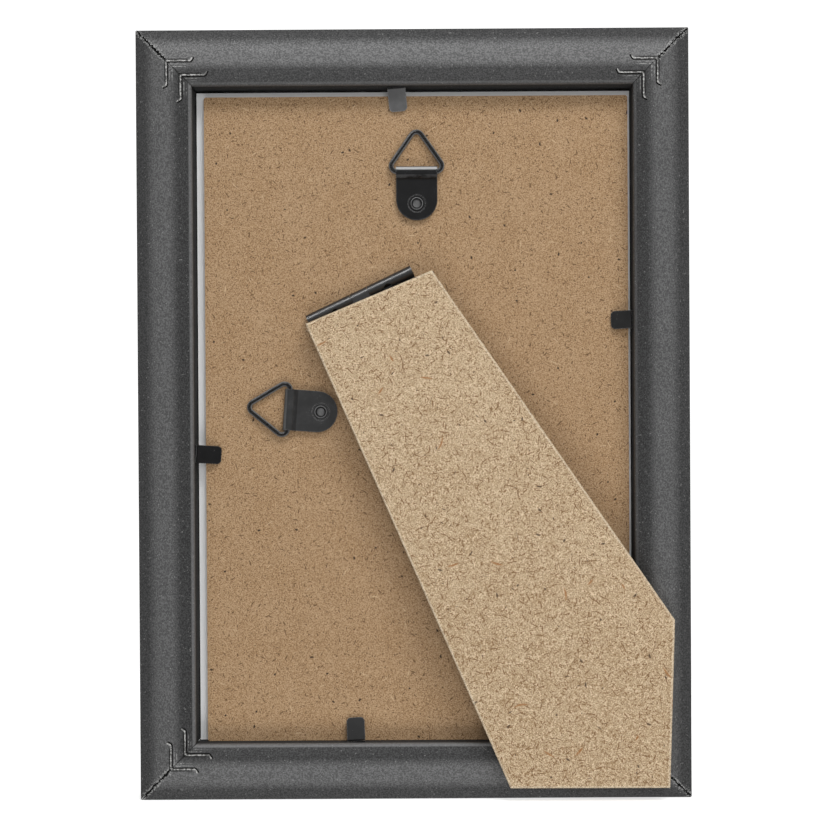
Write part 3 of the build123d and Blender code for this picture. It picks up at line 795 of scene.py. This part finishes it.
class PHOTOFRAME_OT_rails(bpy.types.Operator):
    """Wrap the rails in charcoal foil and give the corner nails bare steel."""

    bl_idname = "photoframe.rails"
    bl_label = "Rails and Corner Nails"

    def execute(self, context):
        settings = context.scene.photo_frame.rails
        # Painted light for each rail: sheen on the crest and the flanks, a highlight on the lip and shade
        # on the wall
        wear_and_light_of = {
            "top": dict(rub_and_sheen=0.88, flank_lights=(0.06, 0.22), wall_shade=0.5, lip_wear_and_highlight=1.0),
            "bottom": dict(rub_and_sheen=0.66, flank_lights=(0.2, 0.08), wall_shade=0.2, lip_wear_and_highlight=1.6),
            "left": dict(rub_and_sheen=0.46, flank_lights=(0.13, 0.0), wall_shade=0.0, lip_wear_and_highlight=1.0),
            "right": dict(rub_and_sheen=0.46, flank_lights=(0.13, 0.0), wall_shade=0.0, lip_wear_and_highlight=0.35),
        }
        for side, marks in wear_and_light_of.items():
            level_rail = side in ("top", "bottom")
            lengthways = (GRAIN_STRETCH, 1, 1) if level_rail else (1, 1, GRAIN_STRETCH)
            wear(f"rail_{side}", foil(settings, f"rail_foil_{side}", lengthways, **marks))
        wear("corner_v_nails", bare_steel("nail_steel", settings.steel))
        return {"FINISHED"}


class PHOTOFRAME_OT_sheets(bpy.types.Operator):
    """Finish the hardboard back, the paper insert and the clear front sheet."""

    bl_idname = "photoframe.sheets"
    bl_label = "Back, Paper and Clear Sheet"

    def execute(self, context):
        settings = context.scene.photo_frame.sheets
        wear("backboard", hardboard(settings))
        wear("picture_insert", white_paper(settings))
        wear("glazing_sheet", clear_plastic(settings))
        return {"FINISHED"}


class PHOTOFRAME_OT_metal(bpy.types.Operator):
    """Blacken the tabs, the hangers and the hinge, and wear their edges bare; paint some tabs and the
    side hanger lighter as sheen and reflection, and paint highlights on the hangers.
    """

    bl_idname = "photoframe.metal"
    bl_label = "Tabs, Hangers and Hinge"

    def execute(self, context):
        settings = context.scene.photo_frame.metal
        tab = black_metal("tab_steel", tuple(settings.tab), settings, rough=0.34, gloss=0.15, rub=0.3)
        # Painted reflection: the top tab is a grey copy of the tab black
        reflecting_tab = black_metal(
            "tab_steel_reflection", tuple(settings.tab_reflection), settings, rough=0.34, gloss=0.5, rub=0.9
        )
        ring = wire_metal("hanger_wire", settings)
        # Painted sheen: the side strap is a lighter copy of the black; the top strap's fold gets the
        # stronger painted highlight
        straps = {"top": (settings.hanger, 0.85), "side": (settings.side_hanger_sheen, 0.14)}
        hinge = black_metal(
            "hinge_black", tuple(settings.hinge), settings, rough=0.36, gloss=1.0, rub=0.06
        )
        # Painted sheen: a lighter copy of the tab black for the bottom and right tabs
        sheened_tab = black_metal(
            "tab_steel_sheen", tuple(settings.tab_sheen), settings, rough=0.34, gloss=0.3, rub=0.5
        )
        wear("tab_top", reflecting_tab)
        wear("tab_bottom", sheened_tab)
        wear("tab_right", sheened_tab)
        wear("tab_left", tab)
        wear("tab_shanks", tab)
        for name in ("top", "side"):
            paint, fold_highlight = straps[name]
            wear(f"hanger_{name}_strap", strap_metal(f"hanger_{name}", tuple(paint), settings, fold_highlight))
            wear(f"hanger_{name}_ring", ring)
            wear(f"hanger_{name}_rivet", rivet_metal(f"hanger_{name}_rivet", settings))
        for name in ("hinge_board_leaf", "hinge_leg_leaf", "hinge_rivets"):
            wear(name, hinge)
        wear("hinge_pin", bare_steel("pin_steel", settings.pin))
        return {"FINISHED"}


class PHOTOFRAME_OT_leg(bpy.types.Operator):
    """Finish the fibreboard leg and lay loose fibres on its face and along its cut edges."""

    bl_idname = "photoframe.leg"
    bl_label = "Fibreboard Leg"

    def execute(self, context):
        settings = context.scene.photo_frame.leg
        wear("easel_leg", fibreboard(settings))
        material = loose_fibre(settings)
        self.lay_fibres(settings, material)
        self.raise_fuzz(settings, material)
        return {"FINISHED"}

    def lay_fibres(self, settings, material):
        """Fibres pressed into the leg's face: places, headings, lengths and tones drawn at random."""
        middle, normal, right, up, outline = back_face("easel_leg")
        draw = np.random.default_rng(FACE_SEED)
        low, high = outline.min(0), outline.max(0)
        places = draw.uniform(low, high, (settings.fibres * 4, 2))
        places = places[inside(places, outline, FIBRE_MARGIN)][: settings.fibres]
        count = len(places)
        angles = draw.uniform(0, math.tau, count)
        size = draw.lognormal(-0.15, 0.5, count)
        lengths = settings.fibre_length * np.clip(size, 0.3, 2.2)
        stout = draw.random(count) < CHIP_SHARE
        lengths = lengths * np.where(stout, CHIP_LENGTH, 1.0)
        widths = settings.fibre_width * draw.uniform(0.6, 1.3, count)
        widths = widths * np.where(stout, CHIP_WIDTH, 1.0)
        tones = np.where(stout, draw.uniform(0.0, 0.15, count), draw.uniform(0.2, 0.5, count))
        points, faces, each = ribbons(
            middle + places @ np.stack([right, up]),
            turned_headings(angles, right, up),
            normal,
            lengths,
            widths,
            lengths * draw.normal(0, 0.06, count),
            np.full(count, 0.025 * MM),
            np.zeros(count),
        )
        tones = np.repeat(tones, each)
        new_piece("leg_fibres", points, faces, "leg", material, tones)

    def raise_fuzz(self, settings, material):
        """Short fibres that stand out of the cut edges, thickest at the upper corner by the hinge."""
        middle, normal, right, up, outline = back_face("easel_leg")
        draw = np.random.default_rng(EDGE_SEED)
        following = np.roll(outline, -1, axis=0)
        runs = np.linalg.norm(following - outline, axis=1)
        side = draw.choice(len(outline), settings.fuzz, p=runs / runs.sum())
        shares = draw.random(settings.fuzz)[:, None]
        places = outline[side] * (1 - shares) + following[side] * shares
        outwards = places - outline.mean(0)
        angles = np.arctan2(outwards[:, 1], outwards[:, 0]) + draw.normal(0, 0.9, settings.fuzz)
        corner = outline[np.argmax(outline @ np.array([-0.9, 0.55]))]
        torn = draw.normal(0, 0.4 * MM, (CORNER_FIBRES, 2)) + corner * 0.99
        places = np.concatenate([places * 0.9985, torn])
        angles = np.concatenate([angles, draw.normal(2.2, 0.7, CORNER_FIBRES)])
        count = len(places)
        depths = draw.uniform(0, 1.6 * MM, count)
        short = draw.uniform(0.3, 0.75, settings.fuzz)
        longer = draw.uniform(0.6, 1.3, CORNER_FIBRES)
        points, faces, each = ribbons(
            middle + places @ np.stack([right, up]) - depths[:, None] * normal,
            turned_headings(angles, right, up),
            normal,
            np.concatenate([short, longer]) * MM,
            draw.uniform(0.07, 0.16, count) * MM,
            draw.normal(0, 0.08, count) * MM,
            np.full(count, 0.03 * MM),
            draw.uniform(-0.05, 0.1, count) * MM,
        )
        tones = np.repeat(draw.uniform(0.55, 1.0, count), each)
        new_piece("leg_edge_fuzz", points, faces, "leg", material, tones)


class PHOTOFRAME_OT_stage(bpy.types.Operator):
    """Set the pale floor, the backdrop, the softboxes and the camera."""

    bl_idname = "photoframe.stage"
    bl_label = "Floor, Lights and Camera"

    def execute(self, context):
        settings = context.scene.photo_frame.stage
        self.lay_floor(settings)
        self.light_room(context.scene, settings)
        self.place_camera(context.scene, settings)
        context.scene.view_settings.view_transform = "Standard"
        return {"FINISHED"}

    def lay_floor(self, settings):
        """A wide round floor a hair below the frame: radius r and angle a give (r cos a, r sin a)."""
        rings, spokes = 4, 48
        radius = np.linspace(0.02, 4.0, rings)[:, None]
        angle = np.linspace(0, math.tau, spokes, endpoint=False)[None, :]
        height = np.full((rings, spokes), -0.1 * MM)
        points = np.stack([radius * np.cos(angle), radius * np.sin(angle), height], axis=-1)
        ring = np.arange(rings - 1)[:, None] * spokes
        near = np.arange(spokes)[None, :]
        after = (near + 1) % spokes
        outer = ring + spokes
        quads = np.stack([ring + near, outer + near, outer + after, ring + after], axis=-1)
        faces = quads.reshape(-1, 4).tolist() + [list(range(spokes))]
        mesh = bpy.data.meshes.new("floor")
        mesh.from_pydata(points.reshape(-1, 3).tolist(), [], faces)
        glow = {"Emission Strength": 0.62, "Emission Color": (1, 1, 1, 1)}
        finish = Finish("pale_floor", {"Specular IOR Level": 0.1, **glow})
        tooth = finish.noise(30.0, 2.0)
        base = finish.blend(tooth * 0.06, tuple(settings.floor), FLOOR_SHADE)
        x, y, _ = finish.axes(finish.place)
        fade = (x * x + y * y).math("SQRT").ramp(*FLOOR_FADE)
        rough = tooth * 0.05 + 0.8
        mesh.materials.append(finish.feed({"Base Color": base, "Roughness": rough, "Alpha": fade}))
        floor = bpy.data.objects.new("floor", mesh)
        bpy.context.scene.collection.objects.link(floor)
        floor.visible_diffuse = False
        floor.visible_glossy = False
        floor.visible_shadow = False

    def light_room(self, scene, settings):
        """A white backdrop for the camera, a room that is dimmer round the camera, and four lights.

        The panel, the softbox and the bounce light the faces only. The strip and the room make the
        glints.
        """
        world = bpy.data.worlds.new("studio")
        world.use_nodes = True
        nodes, links = world.node_tree.nodes, world.node_tree.links
        way = nodes.new("ShaderNodeTexCoord")
        split = nodes.new("ShaderNodeSeparateXYZ")
        shade = nodes.new("ShaderNodeMapRange")
        shade.interpolation_type = "SMOOTHSTEP"
        span = {"From Min": -0.35, "From Max": 0.2, "To Min": settings.behind, "To Max": settings.front}
        for key, value in span.items():
            shade.inputs[key].default_value = value
        links.new(way.outputs["Generated"], split.inputs["Vector"])
        links.new(split.outputs["Y"], shade.inputs["Value"])
        seen = nodes.new("ShaderNodeLightPath")
        pick = nodes.new("ShaderNodeMix")
        pick.inputs["B"].default_value = settings.backdrop
        links.new(seen.outputs["Is Camera Ray"], pick.inputs["Factor"])
        links.new(shade.outputs["Result"], pick.inputs["A"])
        links.new(pick.outputs["Result"], nodes["Background"].inputs["Strength"])
        nodes["Background"].inputs["Color"].default_value = (1, 1, 1, 1)
        scene.world = world
        # Name, place, power and size of each light, and whether it makes glints
        boxes = (
            ("panel_facing", (-0.08, 0.80, 0.20), settings.facing, (0.28, 0.28), False),
            ("softbox_overhead", (-0.24, 0.46, 0.64), settings.overhead, (0.42, 0.20), False),
            ("bounce_below", (0.0, 0.40, -0.30), settings.below, (0.40, 0.20), False),
            ("strip_above", (0.22, 0.46, 0.60), settings.strip, (0.56, 0.09), True),
        )
        for name, place, power, size, glints in boxes:
            light = bpy.data.lights.new(name, "AREA")
            light.shape = "RECTANGLE"
            light.size, light.size_y = size
            light.energy = power
            box = bpy.data.objects.new(name, light)
            box.matrix_world = looking(place, (0.0, 0.0, 0.09), 0.0)
            box.visible_glossy = glints
            box.visible_diffuse = not glints
            scene.collection.objects.link(box)

    def place_camera(self, scene, settings):
        """The camera at its place, aimed and rolled as in the photograph."""
        camera = bpy.data.cameras.new("camera")
        camera.lens = settings.lens
        camera.shift_x, camera.shift_y = settings.shift
        camera.clip_start = 0.01
        holder = bpy.data.objects.new("camera", camera)
        holder.matrix_world = looking(settings.place, settings.aim, settings.roll)
        scene.collection.objects.link(holder)
        scene.camera = holder


def looking(place, aim, roll):
    """Placement of a light or camera that looks from its place to its aim, rolled about that line."""
    turn = (Vector(aim) - Vector(place)).to_track_quat("-Z", "Y").to_matrix().to_4x4()
    return Matrix.Translation(place) @ turn @ Matrix.Rotation(roll, 4, "Z")


OPERATORS = (
    PHOTOFRAME_OT_rails,
    PHOTOFRAME_OT_sheets,
    PHOTOFRAME_OT_metal,
    PHOTOFRAME_OT_leg,
    PHOTOFRAME_OT_stage,
)


class PHOTOFRAME_PT_panel(bpy.types.Panel):
    """The steps that dress the photo frame."""

    bl_idname = "PHOTOFRAME_PT_panel"
    bl_label = "Photo Frame"
    bl_space_type = "VIEW_3D"
    bl_region_type = "UI"
    bl_category = "Photo Frame"

    def draw(self, context):
        for step in OPERATORS:
            self.layout.operator(step.bl_idname)


CLASSES = (
    RailSettings,
    SheetSettings,
    MetalSettings,
    LegSettings,
    StageSettings,
    PhotoFrameSettings,
    *OPERATORS,
    PHOTOFRAME_PT_panel,
)


def register():
    for item in CLASSES:
        bpy.utils.register_class(item)
    bpy.types.Scene.photo_frame = PointerProperty(type=PhotoFrameSettings)


def unregister():
    del bpy.types.Scene.photo_frame
    for item in reversed(CLASSES):
        bpy.utils.unregister_class(item)


def main():
    """Dress the frame."""
    register()
    bpy.ops.photoframe.rails()
    bpy.ops.photoframe.sheets()
    bpy.ops.photoframe.metal()
    bpy.ops.photoframe.leg()
    bpy.ops.photoframe.stage()


if __name__ == "__main__":
    main()
